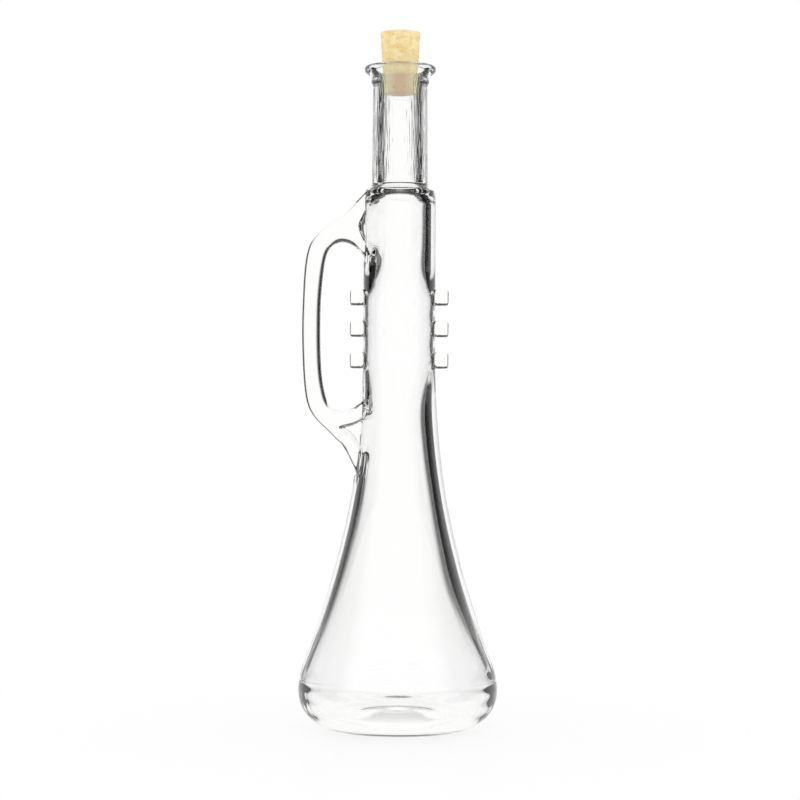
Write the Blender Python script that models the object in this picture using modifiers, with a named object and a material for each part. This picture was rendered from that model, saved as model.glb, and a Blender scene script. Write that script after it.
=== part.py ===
"""A decorative bottle in clear moulded glass, shaped as a trumpet that stands on its bell, with a cork stopper.

Z is up, the origin is the centre of the base, and the handle points to -X. Every length is in metres.
The glass is one piece: a turned body, a flat-sided loop handle and three pairs of valve lugs, with one blown
cavity that swells into the handle's roots and behind every lug. The cork is the only loose piece.
"""

import math

import bmesh
import bpy
from mathutils import Matrix

# Foot, from the floor up. The heel is a quarter of a full ellipse from the bearing ring to the widest point.
# Fullness 2 is a plain ellipse, and a larger one bulges more.
BASE_RADIUS = 0.0437
BASE_WIDEST_HEIGHT = 0.0175
HEEL_FULLNESS = 2.15
BEARING_OUTER_RADIUS = 0.0240
BEARING_INNER_RADIUS = 0.0200
PUSH_UP_HEIGHT = 0.0026

# Bell, tube, shoulder, neck and lip, stacked on one another
BELL_TOP_HEIGHT = 0.1667
TUBE_RADIUS = 0.0158
TUBE_LENGTH = 0.0655
SHOULDER_HEIGHT = 0.0098
NECK_RADIUS = 0.0120
NECK_LENGTH = 0.0395
COLLAR_RADIUS = 0.0127
COLLAR_HEIGHT = 0.0034
LIP_RADIUS = 0.0157
LIP_HEIGHT = 0.0061
LIP_BEAD_RADIUS = 0.0015

# Walls. The blown glass thins as the bell widens, and thickens again under the heel.
TUBE_WALL = 0.0048
BELL_WALL = 0.0050
RIM_WALL = 0.0026
FLOOR_THICKNESS = 0.0036
FLOOR_DISH = 0.0012
INNER_HEEL_WIDTH = 0.0172
INNER_HEEL_HEIGHT = 0.0143
MOUTH_RADIUS = 0.0108
MOUTH_DEPTH = 0.0064

# Cork: a cone pushed part of the way into the neck, clear of the bore by the seat gap
CORK_LENGTH = 0.0272
CORK_TOP_RADIUS = 0.0088
CORK_BOTTOM_RADIUS = 0.0073
CORK_INSERTION = 0.0125
CORK_EDGE = 0.0006
SEAT_GAP = 0.0003

# Handle: a loop with flat sides, moulded across the mould's parting plane
HANDLE_REACH = 0.0268
HANDLE_TOP_DROP = 0.0020
HANDLE_SPAN = 0.1270
HANDLE_DEPTH = 0.0100
HANDLE_EDGE_RADIUS = 0.0016
FINGER_GAP_WIDTH = 0.0188
FINGER_GAP_HEIGHT = 0.0756
FINGER_GAP_DROP = 0.0272
GAP_INTO_WALL = 0.0022

# Valve lugs: three on each side, in line with the handle
LUGS_PER_SIDE = 3
LUG_PITCH = 0.0138
LUG_TOP_DROP = 0.0528
LUG_REACH = 0.0058
LUG_HEIGHT = 0.0072
LUG_DEPTH = 0.0074
LUG_EDGE_RADIUS = 0.0009

# Swellings of the cavity: half sizes of each rounded form, and how far its tip stands out of the tube
LUG_SWELL_REACH = -0.0007
LUG_SWELL_LENGTH = 0.0052
LUG_SWELL_HALF_HEIGHT = 0.0048
LUG_SWELL_HALF_DEPTH = 0.0065
UPPER_SWELL_REACH = 0.0032
UPPER_SWELL_LENGTH = 0.0125
UPPER_SWELL_HALF_HEIGHT = 0.0095
UPPER_SWELL_DROP = 0.0195
LOWER_SWELL_REACH = 0.0100
LOWER_SWELL_LENGTH = 0.0170
LOWER_SWELL_HALF_HEIGHT = 0.0058
LOWER_SWELL_DROP = 0.1090
ROOT_SWELL_HALF_DEPTH = 0.0036

# Outlines as shares. Bell: (height, radius above the tube's) from the widest point up.
BELL_SHARES = (
    (0.00, 1.000),
    (0.06, 0.945),
    (0.13, 0.805),
    (0.21, 0.668),
    (0.30, 0.518),
    (0.40, 0.373),
    (0.50, 0.248),
    (0.60, 0.152),
    (0.71, 0.077),
    (0.84, 0.024),
    (1.00, 0.000),
)
# Shoulder: (depth below the neck, way out from the neck's radius to the tube's)
SHOULDER_SHARES = ((0.0, 0.0), (0.2, 0.09), (0.48, 0.55), (0.76, 0.89), (1.0, 1.0))
# Lip: (depth below the bead, way out from the collar's radius to the lip's)
LIP_FLARE_SHARES = ((0.0, 0.86), (0.35, 0.42), (0.7, 0.14), (1.0, 0.0))
# Mouth: (depth, way out from the bore to the mouth's radius)
MOUTH_SHARES = ((0.0, 1.0), (0.3, 0.62), (0.65, 0.22), (1.0, 0.0))
# Handle, outer edge: (reach out of the tube, height in the span), then the finger gap in its own width and height
HANDLE_OUTLINE_SHARES = (
    (-0.095, 0.980),
    (0.000, 0.944),
    (0.130, 0.916),
    (0.440, 0.874),
    (0.700, 0.832),
    (0.880, 0.781),
    (0.966, 0.679),
    (1.000, 0.500),
    (0.975, 0.320),
    (0.866, 0.212),
    (0.620, 0.150),
    (0.420, 0.107),
    (0.210, 0.056),
    (0.130, 0.000),
    (0.060, -0.060),
)
FINGER_GAP_SHARES = (
    (0.000, 0.900),
    (0.085, 0.951),
    (0.280, 0.992),
    (0.480, 0.998),
    (0.670, 0.980),
    (0.820, 0.937),
    (0.930, 0.823),
    (1.000, 0.600),
    (1.000, 0.380),
    (0.955, 0.185),
    (0.820, 0.045),
    (0.600, 0.004),
    (0.410, 0.000),
    (0.200, 0.021),
    (0.075, 0.065),
)
# Finger gap, where its edge closes inside the body's wall: (height in the gap), lower and upper
GAP_ROOT_SHARES = (0.12, 0.75)
# Collar: where its straight part ends, down from its top
COLLAR_BEND_SHARE = 0.35
# Bell: where its wall starts to thicken upwards, and where it is as thick as it gets
BELL_THIN_SHARE = 0.14
BELL_THICK_SHARE = 0.42

# Fineness and working allowances
SEGMENTS_AROUND = 48
CORK_SEGMENTS = 40
ARC_STEPS = 4
HEEL_STEPS = 8
EDGE_SEGMENTS = 2
CURVE_STEPS = 4
SWELL_SEGMENTS = 20
SWELL_RINGS = 12
CUT_OVERRUN = 0.0050
WELD = 0.00001

# Heights that follow from the stack
SHOULDER_BOTTOM = BELL_TOP_HEIGHT + TUBE_LENGTH
SHOULDER_TOP = SHOULDER_BOTTOM + SHOULDER_HEIGHT
COLLAR_BOTTOM = SHOULDER_TOP + NECK_LENGTH
LIP_BOTTOM = COLLAR_BOTTOM + COLLAR_HEIGHT
GLASS_HEIGHT = LIP_BOTTOM + LIP_HEIGHT
CORK_BOTTOM_HEIGHT = GLASS_HEIGHT - CORK_INSERTION
BORE_RADIUS = CORK_BOTTOM_RADIUS + SEAT_GAP


def clear_scene():
    for old in list(bpy.data.objects):
        bpy.data.objects.remove(old, do_unlink=True)


def new_collection(name):
    made = bpy.data.collections.new(name)
    bpy.context.scene.collection.children.link(made)
    return made


def new_material(name, colour, roughness, transmission=0.0, ior=1.45):
    """A plain Principled material. Colour is linear RGB."""
    made = bpy.data.materials.new(name)
    made.use_nodes = True
    shader = made.node_tree.nodes["Principled BSDF"]
    shader.inputs["Base Color"].default_value = (*colour, 1.0)
    shader.inputs["Roughness"].default_value = roughness
    shader.inputs["Metallic"].default_value = 0.0
    shader.inputs["Transmission Weight"].default_value = transmission
    shader.inputs["IOR"].default_value = ior
    made.diffuse_color = (*colour, 1.0)
    return made


def add_object(name, data, collection):
    made = bpy.data.objects.new(name, data)
    collection.objects.link(made)
    return made


def make_cutter(obj):
    """Marks an object as a helper: it shapes the glass and is no piece itself."""
    obj.hide_render = True
    obj.display_type = "WIRE"
    return obj


def mix(start, end, share):
    return start + (end - start) * share


def ellipse_arc(centre, size, start, end, steps, fullness=2.0):
    """Points (radius, height) on an ellipse. Angles are in degrees from the outward direction, upwards."""
    found = []
    for i in range(steps + 1):
        angle = math.radians(mix(start, end, i / steps))
        out = math.copysign(abs(math.cos(angle)) ** (2 / fullness), math.cos(angle))
        up = math.copysign(abs(math.sin(angle)) ** (2 / fullness), math.sin(angle))
        found.append((centre[0] + size[0] * out, centre[1] + size[1] * up))
    return found


def share_at(table, share):
    """Reads a table of (position, value) shares with a smooth cubic through its points."""
    last = len(table) - 1
    i = max(k for k in range(last) if table[k][0] <= share or k == 0)
    here, there = table[i], table[i + 1]
    before, after = table[max(i - 1, 0)], table[min(i + 2, last)]
    width = there[0] - here[0]
    slope_here = (there[1] - before[1]) / (there[0] - before[0])
    slope_there = (after[1] - here[1]) / (after[0] - here[0])
    if i == 0:
        slope_here = 0.0
    t = (share - here[0]) / width
    rise = there[1] - here[1]
    bend = (slope_here * width - rise) * (1 - t) - (slope_there * width - rise) * t
    return mix(here[1], there[1], t) + t * (1 - t) * bend


def bell_radius(height):
    """Outer radius of the bell between its widest point and the tube."""
    share = (height - BASE_WIDEST_HEIGHT) / (BELL_TOP_HEIGHT - BASE_WIDEST_HEIGHT)
    return mix(TUBE_RADIUS, BASE_RADIUS, share_at(BELL_SHARES, share))


def bell_wall(height):
    """Level thickness of the glass at a height on the bell."""
    share = (height - BASE_WIDEST_HEIGHT) / (BELL_TOP_HEIGHT - BASE_WIDEST_HEIGHT)
    if share < BELL_THIN_SHARE:
        return RIM_WALL
    if share > BELL_THICK_SHARE:
        return mix(BELL_WALL, TUBE_WALL, (share - BELL_THICK_SHARE) / (1 - BELL_THICK_SHARE))
    return mix(RIM_WALL, BELL_WALL, (share - BELL_THIN_SHARE) / (BELL_THICK_SHARE - BELL_THIN_SHARE))


def bell_heights():
    span = BELL_TOP_HEIGHT - BASE_WIDEST_HEIGHT
    return [BASE_WIDEST_HEIGHT + span * share for share, _ in BELL_SHARES]


def body_profile():
    """The outside of the glass, from the top of the axis down the outer side to the foot's middle."""
    bead_r = LIP_RADIUS - LIP_BEAD_RADIUS
    bead_z = GLASS_HEIGHT - LIP_BEAD_RADIUS
    profile = [(0, GLASS_HEIGHT)]
    profile += ellipse_arc((bead_r, bead_z), (LIP_BEAD_RADIUS, LIP_BEAD_RADIUS), 90, -30, ARC_STEPS)
    flare_top = bead_z - LIP_BEAD_RADIUS
    for depth, out in LIP_FLARE_SHARES:
        profile.append((mix(COLLAR_RADIUS, LIP_RADIUS, out), mix(flare_top, LIP_BOTTOM, depth)))
    profile.append((COLLAR_RADIUS, mix(LIP_BOTTOM, COLLAR_BOTTOM, COLLAR_BEND_SHARE)))
    profile.append((NECK_RADIUS, COLLAR_BOTTOM))
    for depth, out in SHOULDER_SHARES:
        profile.append((mix(NECK_RADIUS, TUBE_RADIUS, out), SHOULDER_TOP - SHOULDER_HEIGHT * depth))
    profile += [(bell_radius(z), z) for z in reversed(bell_heights()[1:])]
    heel_centre = (BEARING_OUTER_RADIUS, BASE_WIDEST_HEIGHT)
    heel_size = (BASE_RADIUS - BEARING_OUTER_RADIUS, BASE_WIDEST_HEIGHT)
    profile += ellipse_arc(heel_centre, heel_size, 0, -90, HEEL_STEPS, HEEL_FULLNESS)
    profile.append((BEARING_INNER_RADIUS, 0))
    profile += push_up_points()
    return profile


def push_up_points():
    """The shallow dome under the foot, from the bearing ring in to the axis."""
    found = []
    for i in range(1, ARC_STEPS + 1):
        share = i / ARC_STEPS
        rise = math.sin(share * math.pi / 2)
        found.append((BEARING_INNER_RADIUS * (1 - share), PUSH_UP_HEIGHT * rise))
    return found


def bore_radius(height):
    """The bore follows the cork's taper where the cork sits, and is straight below it."""
    share = max(0, height - CORK_BOTTOM_HEIGHT) / CORK_LENGTH
    return mix(CORK_BOTTOM_RADIUS, CORK_TOP_RADIUS, share) + SEAT_GAP


def cavity_profile():
    """The blown space, from above the mouth down to the floor's middle."""
    mouth_bottom = GLASS_HEIGHT - MOUTH_DEPTH
    throat = bore_radius(mouth_bottom)
    profile = [(0, GLASS_HEIGHT + CUT_OVERRUN), (MOUTH_RADIUS, GLASS_HEIGHT + CUT_OVERRUN)]
    for depth, out in MOUTH_SHARES:
        profile.append((mix(throat, MOUTH_RADIUS, out), GLASS_HEIGHT - MOUTH_DEPTH * depth))
    profile.append((BORE_RADIUS, CORK_BOTTOM_HEIGHT))
    inner_tube = TUBE_RADIUS - TUBE_WALL
    for depth, out in SHOULDER_SHARES:
        profile.append((mix(BORE_RADIUS, inner_tube, out), SHOULDER_TOP - SHOULDER_HEIGHT * depth))
    profile += [(bell_radius(z) - bell_wall(z), z) for z in reversed(bell_heights()[1:])]
    heel_centre = (BASE_RADIUS - RIM_WALL - INNER_HEEL_WIDTH, FLOOR_THICKNESS + INNER_HEEL_HEIGHT)
    heel_size = (INNER_HEEL_WIDTH, INNER_HEEL_HEIGHT)
    profile += ellipse_arc(heel_centre, heel_size, 0, -90, HEEL_STEPS)
    profile.append((0, FLOOR_THICKNESS + FLOOR_DISH))
    return profile


def cork_profile():
    """A cone with its two edges rubbed round."""
    top = CORK_BOTTOM_HEIGHT + CORK_LENGTH
    slope = (CORK_TOP_RADIUS - CORK_BOTTOM_RADIUS) / CORK_LENGTH
    return [
        (0, top),
        (CORK_TOP_RADIUS - CORK_EDGE, top),
        (CORK_TOP_RADIUS - slope * CORK_EDGE, top - CORK_EDGE),
        (CORK_BOTTOM_RADIUS + slope * CORK_EDGE, CORK_BOTTOM_HEIGHT + CORK_EDGE),
        (CORK_BOTTOM_RADIUS - CORK_EDGE, CORK_BOTTOM_HEIGHT),
        (0, CORK_BOTTOM_HEIGHT),
    ]


def turned(name, profile, collection, segments):
    """A solid of revolution about Z: the profile as a wire, turned by a Screw modifier."""
    mesh = bpy.data.meshes.new(name)
    edges = [(i, i + 1) for i in range(len(profile) - 1)]
    mesh.from_pydata([(r, 0, z) for r, z in profile], edges, [])
    made = add_object(name, mesh, collection)
    screw = made.modifiers.new("turn", "SCREW")
    screw.axis = "Z"
    screw.angle = math.tau
    screw.steps = segments
    screw.render_steps = segments
    screw.use_merge_vertices = True
    screw.merge_threshold = WELD
    screw.use_smooth_shade = True
    return made


def closed_spline(curve, points):
    spline = curve.splines.new("BEZIER")
    spline.bezier_points.add(len(points) - 1)
    for knot, (x, z) in zip(spline.bezier_points, points):
        knot.co = (x, z, 0)
        knot.handle_left_type = "AUTO"
        knot.handle_right_type = "AUTO"
    spline.use_cyclic_u = True
    spline.resolution_u = CURVE_STEPS


def handle_outline():
    """The handle's outer edge, closed through the middle of the body, as (x, z)."""
    top = SHOULDER_TOP - HANDLE_TOP_DROP
    found = []
    for out, up in HANDLE_OUTLINE_SHARES:
        found.append((-TUBE_RADIUS - HANDLE_REACH * out, top - HANDLE_SPAN * (1 - up)))
    inside = -(TUBE_RADIUS - TUBE_WALL) / 2
    found.append((inside, found[-1][1]))
    found.append((inside, top))
    return found


def gap_outline():
    """The finger gap's edge, closed inside the body's wall, as (x, z)."""
    top = SHOULDER_TOP - FINGER_GAP_DROP
    found = []
    for out, up in FINGER_GAP_SHARES:
        found.append((-TUBE_RADIUS - FINGER_GAP_WIDTH * out, top - FINGER_GAP_HEIGHT * (1 - up)))
    inside = -(TUBE_RADIUS - GAP_INTO_WALL)
    for up in GAP_ROOT_SHARES:
        found.append((inside, top - FINGER_GAP_HEIGHT * (1 - up)))
    return found


def handle_plate(collection):
    """The loop as a flat outline with its finger gap, thickened, with rounded edges."""
    curve = bpy.data.curves.new("handle_outline", "CURVE")
    curve.dimensions = "2D"
    curve.fill_mode = "BOTH"
    curve.resolution_u = CURVE_STEPS
    curve.bevel_depth = HANDLE_EDGE_RADIUS
    curve.bevel_resolution = EDGE_SEGMENTS - 1
    curve.offset = -HANDLE_EDGE_RADIUS
    curve.extrude = HANDLE_DEPTH / 2 - HANDLE_EDGE_RADIUS
    closed_spline(curve, handle_outline())
    closed_spline(curve, gap_outline())
    flat = add_object("handle_flat", curve, collection)
    flat.matrix_world = Matrix.Rotation(math.radians(90), 4, "X")
    bpy.context.view_layer.update()
    evaluated = flat.evaluated_get(bpy.context.evaluated_depsgraph_get())
    mesh = bpy.data.meshes.new_from_object(evaluated)
    mesh.name = "handle_loop"
    made = add_object("handle_loop", mesh, collection)
    made.matrix_world = flat.matrix_world.copy()
    bpy.data.objects.remove(flat, do_unlink=True)
    edit = bmesh.new()
    edit.from_mesh(mesh)
    bmesh.ops.remove_doubles(edit, verts=edit.verts, dist=WELD)
    bmesh.ops.recalc_face_normals(edit, faces=edit.faces)
    edit.to_mesh(mesh)
    edit.free()
    return make_cutter(made)


def lug_block(name, side, height, collection):
    """One valve lug: a block from inside the wall outwards, with rounded edges."""
    root = TUBE_RADIUS - TUBE_WALL
    length = TUBE_RADIUS + LUG_REACH - root
    bpy.ops.mesh.primitive_cube_add(size=1)
    made = bpy.context.object
    made.name = name
    for home in list(made.users_collection):
        home.objects.unlink(made)
    collection.objects.link(made)
    made.data.transform(Matrix.Diagonal((length, LUG_DEPTH, LUG_HEIGHT, 1)))
    made.location = (side * (root + length / 2), 0, height)
    bevel = made.modifiers.new("round_edges", "BEVEL")
    bevel.width = LUG_EDGE_RADIUS
    bevel.segments = EDGE_SEGMENTS
    return make_cutter(made)


def swelling(name, tip_x, length, half_depth, half_height, height, collection):
    """A rounded form, whose tip is at tip_x, that the cavity swells into."""
    bpy.ops.mesh.primitive_uv_sphere_add(segments=SWELL_SEGMENTS, ring_count=SWELL_RINGS, radius=1)
    made = bpy.context.object
    made.name = name
    for home in list(made.users_collection):
        home.objects.unlink(made)
    collection.objects.link(made)
    made.data.transform(Matrix.Diagonal((length, half_depth, half_height, 1)))
    made.location = (tip_x - math.copysign(length, tip_x), 0, height)
    return make_cutter(made)


def combine(target, other, operation):
    """Joins or cuts with a Boolean that stays on the target."""
    step = target.modifiers.new(f"{operation.lower()}_{other.name}", "BOOLEAN")
    step.operation = operation
    step.solver = "EXACT"
    step.object = other


def lug_heights():
    return [SHOULDER_TOP - LUG_TOP_DROP - LUG_PITCH * i for i in range(LUGS_PER_SIDE)]


def make_cavity(collection):
    """The blown space: the turned core, with a swelling behind each lug and in each handle root."""
    cavity = make_cutter(turned("cavity", cavity_profile(), collection, SEGMENTS_AROUND))
    lug_tip = TUBE_RADIUS + LUG_SWELL_REACH
    for side, word in ((-1, "left"), (1, "right")):
        for number, height in enumerate(lug_heights(), start=1):
            swell = swelling(
                f"swell_{word}_{number}",
                side * lug_tip,
                LUG_SWELL_LENGTH,
                LUG_SWELL_HALF_DEPTH,
                LUG_SWELL_HALF_HEIGHT,
                height,
                collection,
            )
            combine(cavity, swell, "UNION")
    upper = swelling(
        "swell_upper_root",
        -(TUBE_RADIUS + UPPER_SWELL_REACH),
        UPPER_SWELL_LENGTH,
        ROOT_SWELL_HALF_DEPTH,
        UPPER_SWELL_HALF_HEIGHT,
        SHOULDER_TOP - UPPER_SWELL_DROP,
        collection,
    )
    lower = swelling(
        "swell_lower_root",
        -(TUBE_RADIUS + LOWER_SWELL_REACH),
        LOWER_SWELL_LENGTH,
        ROOT_SWELL_HALF_DEPTH,
        LOWER_SWELL_HALF_HEIGHT,
        SHOULDER_TOP - LOWER_SWELL_DROP,
        collection,
    )
    combine(cavity, upper, "UNION")
    combine(cavity, lower, "UNION")
    return cavity


def make_bottle(parts, cutters):
    bottle = turned("glass_bottle", body_profile(), parts, SEGMENTS_AROUND)
    combine(bottle, handle_plate(cutters), "UNION")
    for side, word in ((-1, "left"), (1, "right")):
        for number, height in enumerate(lug_heights(), start=1):
            lug = lug_block(f"lug_{word}_{number}", side, height, cutters)
            combine(bottle, lug, "UNION")
    combine(bottle, make_cavity(cutters), "DIFFERENCE")
    bottle.data.materials.append(
        new_material("clear_glass", (0.98, 1.0, 0.99), 0.02, transmission=1.0, ior=1.52)
    )
    return bottle


def make_cork(parts):
    cork = turned("cork_stopper", cork_profile(), parts, CORK_SEGMENTS)
    cork.data.materials.append(new_material("natural_cork", (0.80, 0.58, 0.31), 0.75))
    return cork


def main():
    clear_scene()
    parts = new_collection("trumpet_bottle")
    cutters = new_collection("cutters")
    make_bottle(parts, cutters)
    make_cork(parts)


main()
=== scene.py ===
"""Looks of a trumpet-shaped glass bottle with a cork stopper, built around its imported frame.

The bottle stands on Z = 0, its handle points to -X and the photograph looks along +Y. The tables and sizes of
the pieces are in millimetres, and become metres where a mesh or a texture is made.
"""

import math

import bmesh
import bpy
import numpy as np
from mathutils import Matrix, Vector, noise


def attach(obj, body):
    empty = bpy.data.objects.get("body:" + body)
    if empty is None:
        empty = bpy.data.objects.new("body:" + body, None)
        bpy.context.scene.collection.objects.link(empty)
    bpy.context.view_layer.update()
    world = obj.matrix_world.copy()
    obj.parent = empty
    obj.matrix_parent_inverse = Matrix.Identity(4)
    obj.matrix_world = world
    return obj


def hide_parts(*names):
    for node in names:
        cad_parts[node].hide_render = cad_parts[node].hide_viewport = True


bl_info = {
    "name": "Trumpet bottle",
    "version": (1, 0, 0),
    "blender": (4, 5, 0),
    "location": "View3D > Sidebar > Bottle",
    "description": "Builds the glass, the cork and the studio of a trumpet-shaped bottle",
    "category": "Add Mesh",
}

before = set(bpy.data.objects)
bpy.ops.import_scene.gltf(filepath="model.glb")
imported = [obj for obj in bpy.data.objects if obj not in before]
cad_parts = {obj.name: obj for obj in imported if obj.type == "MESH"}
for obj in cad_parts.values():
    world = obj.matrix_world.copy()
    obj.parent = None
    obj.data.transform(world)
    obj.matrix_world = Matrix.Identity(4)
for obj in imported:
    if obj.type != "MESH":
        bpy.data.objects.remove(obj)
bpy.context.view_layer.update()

MM = 0.001
# The bottle's two sides and how far its front and back are from them, in degrees
RIGHT, LEFT, QUARTER_TURN = 0, 180, 90

# ---- sizes of the glass, in millimetres, as the frame's solids have them
TUBE_R, NECK_R, BASE_R = 15.8, 12.2, 43.7
WIDEST_Z, BELL_TOP_Z = 17.5, 166.7
SHOULDER_LOW_Z, SHOULDER_TOP_Z = 232.2, 242.0
HANDLE_HALF_DEPTH = 5.0
LUG_REACH, LUG_TALL, LUG_PITCH = 21.6, 7.2, 13.8
LUG_LOW_Z = (158.05, 171.85, 185.65)


def mix(start, end, share):
    """The value at a share of the way from start to end."""
    return start + (end - start) * share


def curve_at(table, x):
    """A smooth cubic through a table of (x, y)."""
    last = len(table) - 1
    i = max([k for k in range(last) if table[k][0] <= x] or [0])
    here, there = table[i], table[i + 1]
    before, after = table[max(i - 1, 0)], table[min(i + 2, last)]
    width = there[0] - here[0]
    slope_here = (there[1] - before[1]) / (there[0] - before[0])
    slope_there = (after[1] - here[1]) / (after[0] - here[0])
    t = (x - here[0]) / width
    rise = there[1] - here[1]
    bend = (slope_here * width - rise) * (1 - t) - (slope_there * width - rise) * t
    return mix(here[1], there[1], t) + t * (1 - t) * bend


def smooth_step(share):
    """0 below 0, 1 above 1 and an even S between them."""
    share = min(1.0, max(0.0, share))
    return share * share * (3 - 2 * share)


# Bell: (share of the height from the widest point to the tube, share of the radius above the tube's)
BELL = (
    (-0.06, 0.985), (0.0, 1.0), (0.06, 0.945), (0.13, 0.805), (0.21, 0.668), (0.30, 0.518), (0.40, 0.373),
    (0.50, 0.248), (0.60, 0.152), (0.71, 0.077), (0.84, 0.024), (1.0, 0.0), (1.2, 0.0),
)
# Shoulder: (share of the drop from the neck to the tube, share of the way out)
SHOULDER = (
    (-0.2, 0.0), (0.0, 0.0), (0.22, 0.01), (0.36, 0.07), (0.46, 0.33), (0.56, 0.70), (0.68, 0.88),
    (0.84, 0.97), (1.0, 1.0), (1.2, 1.0),
)


def outer_radius(z):
    """Outside of the bell, tube and shoulder."""
    if z >= SHOULDER_LOW_Z:
        drop = (SHOULDER_TOP_Z - z) / (SHOULDER_TOP_Z - SHOULDER_LOW_Z)
        return mix(NECK_R, TUBE_R, curve_at(SHOULDER, drop))
    if z >= BELL_TOP_Z:
        return TUBE_R
    return mix(TUBE_R, BASE_R, curve_at(BELL, (z - WIDEST_Z) / (BELL_TOP_Z - WIDEST_Z)))


# Level thickness of the wall, (height, thickness): front and back, right side and left side. It is thin at
# the heel and behind the lugs, where the glass was blown out furthest.
WALL_FRONT = (
    (0, 2.6), (18, 2.6), (38, 2.8), (60, 3.6), (80, 4.3), (110, 4.4), (140, 4.0), (160, 3.2), (190, 3.2),
    (205, 4.0), (220, 4.4), (300, 4.4),
)
WALL_RIGHT = (
    (0, 2.3), (18, 2.5), (28, 3.1), (38, 4.0), (50, 4.9), (60, 5.3), (70, 5.4), (80, 5.3), (100, 5.0),
    (122, 4.9), (135, 4.8), (142, 4.5), (149, 3.8), (156, 2.7), (161.65, 1.8), (165.1, 1.95), (168.55, 2.2),
    (172, 1.95), (175.45, 1.7), (178.9, 1.95), (182.35, 2.2), (185.6, 1.9), (188.4, 1.9), (191.5, 2.3),
    (195, 3.1), (199, 3.9), (203.5, 4.3), (212, 4.35), (235, 4.35), (300, 4.35),
)
WALL_LEFT = (
    (0, 2.3), (18, 2.3), (28, 2.6), (38, 3.2), (50, 3.8), (60, 4.0), (68, 4.1), (84, 4.2), (100, 4.2),
    (122, 4.0), (135, 3.8), (142, 3.6), (149, 3.2), (156, 2.5), (161.65, 1.7), (165.1, 1.75), (168.55, 1.9),
    (172, 1.75), (175.45, 1.5), (178.9, 1.75), (182.35, 1.9), (185.6, 1.8), (188.4, 1.8), (191.5, 2.3),
    (195, 3.2), (199, 4.2), (203.5, 4.8), (212, 5.0), (235, 4.7), (300, 4.7),
)
# The angle over which the wall of the front fades into that of a side
SIDE_FADE_ANGLE = 66


def inner_radius(z, side, away):
    """Inside of the bell and tube; the wall of each side fades into that of front and back."""
    beside = smooth_step((QUARTER_TURN - abs(away)) / SIDE_FADE_ANGLE)
    wall = curve_at(WALL_RIGHT if side == RIGHT else WALL_LEFT, z)
    return outer_radius(z) - mix(curve_at(WALL_FRONT, z), wall, beside)


# Swellings of the cavity into the handle's roots: (height, how far out along -X)
UPPER_SWELL = (
    (206, 9.6), (208.4, 10.8), (210, 12.2), (211.6, 14.0), (213.4, 15.4), (215.4, 16.5), (217.4, 17.4),
    (219.5, 18.0), (221, 18.2), (224, 17.0), (227.8, 15.1), (231.5, 13.1), (235, 11.2), (238, 9.0),
)
LOWER_SWELL = (
    (104, 9.0), (112, 15.0), (117, 15.6), (121, 16.6), (123.4, 18.4), (126.4, 20.3), (128.2, 22.3),
    (130.4, 24.8), (132.2, 25.9), (133.0, 25.6), (133.6, 23.6), (134.4, 20.5), (136, 17.4), (138.6, 14.6),
    (141.5, 12.0), (144, 9.0),
)
# A pocket's half depth, how long its rounded end is, and where its sides start to spread towards the tube
POCKET_HALF_DEPTH, TIP_LENGTH, FLANK_END = 4.0, 2.5, 16.5
# 2 would make the end a half ellipse, and a higher power fills its corners
TIP_POWER = 2.5
HALVINGS = 30


def drawn_out(turn, r, reach):
    """Distance from the axis of a round section with a slab-shaped pocket, at an angle from its middle."""
    if reach <= r:
        return r
    corner = Vector((min(reach - TIP_LENGTH, FLANK_END), POCKET_HALF_DEPTH))
    if corner.length > r:
        at = math.atan2(corner.y, corner.x)
        lean = at + math.acos(r / corner.length)
        if turn >= lean:
            return r
        if turn >= at:
            return r / math.cos(lean - turn)
    low, high = 0.0, reach
    for _ in range(HALVINGS):
        tried = (low + high) / 2
        share = min(1.0, tried * math.sin(turn) / POCKET_HALF_DEPTH)
        end = reach - TIP_LENGTH * (1 - (1 - share**TIP_POWER) ** (1 / TIP_POWER))
        if share < 1 and tried * math.cos(turn) < end:
            low = tried
        else:
            high = tried
    return max(r, low)


# ---- the glass as one cage: rows run from the foot's middle up the outside, over the lip and down the
# inside, and columns run round it, given in degrees from the middle of the right and of the left side
COLUMNS_RIGHT = (0, 6, 11.6, 13.54, 16, 20.5, 27, 36, 47, 60, 75)
COLUMNS_LEFT = (0, 6, 11.6, 13.54, 15.9, 18.45, 21, 27, 36, 47, 60, 75)
# How many columns away from a side's middle the handle's and the lugs' roots end
HANDLE_SIDE, LUG_SIDE = 5, 3
# Outside, from below: (radius, height) of the foot, angles round the heel, and heights up the bell and tube
FOOT = ((0, 1.8), (7, 1.62), (13, 0.95), (17.6, 0.25), (20.2, 0.02), (22, 0.0), (24.2, 0.02))
HEEL_ANGLES = (-80, -70, -59, -48, -37, -26, -14, 0)
# The heel is a quarter of an ellipse about a ring of this radius, and a power above 2 makes it fuller
HEEL_RING_R, HEEL_FULLNESS = 24.0, 2.15
BELL_ROWS = (21.5, 26.5, 32.5, 39, 46, 54, 62, 70, 78, 86, 94, 101, 107, 111.2)
LOWER_ROOT_ROWS = (113.5, 117.5, 123, 129, 135, 140, 143.5)
LOW_TUBE_ROWS = (145.6, 149.2, 153, 155.6)
LUG_MARGIN, LUG_EDGE_ROW = 1, 1.3
HIGH_TUBE_ROWS = (195.8, 198.8, 202.2, 205.2)
UPPER_ROOT_ROWS = (207.5, 211.5, 217, 223, 228.5, 232.6, 235.4)
SHOULDER_ROWS = (236.1, 236.7, 237.4, 238.2, 239.3, 240.7, 242.5)
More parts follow.
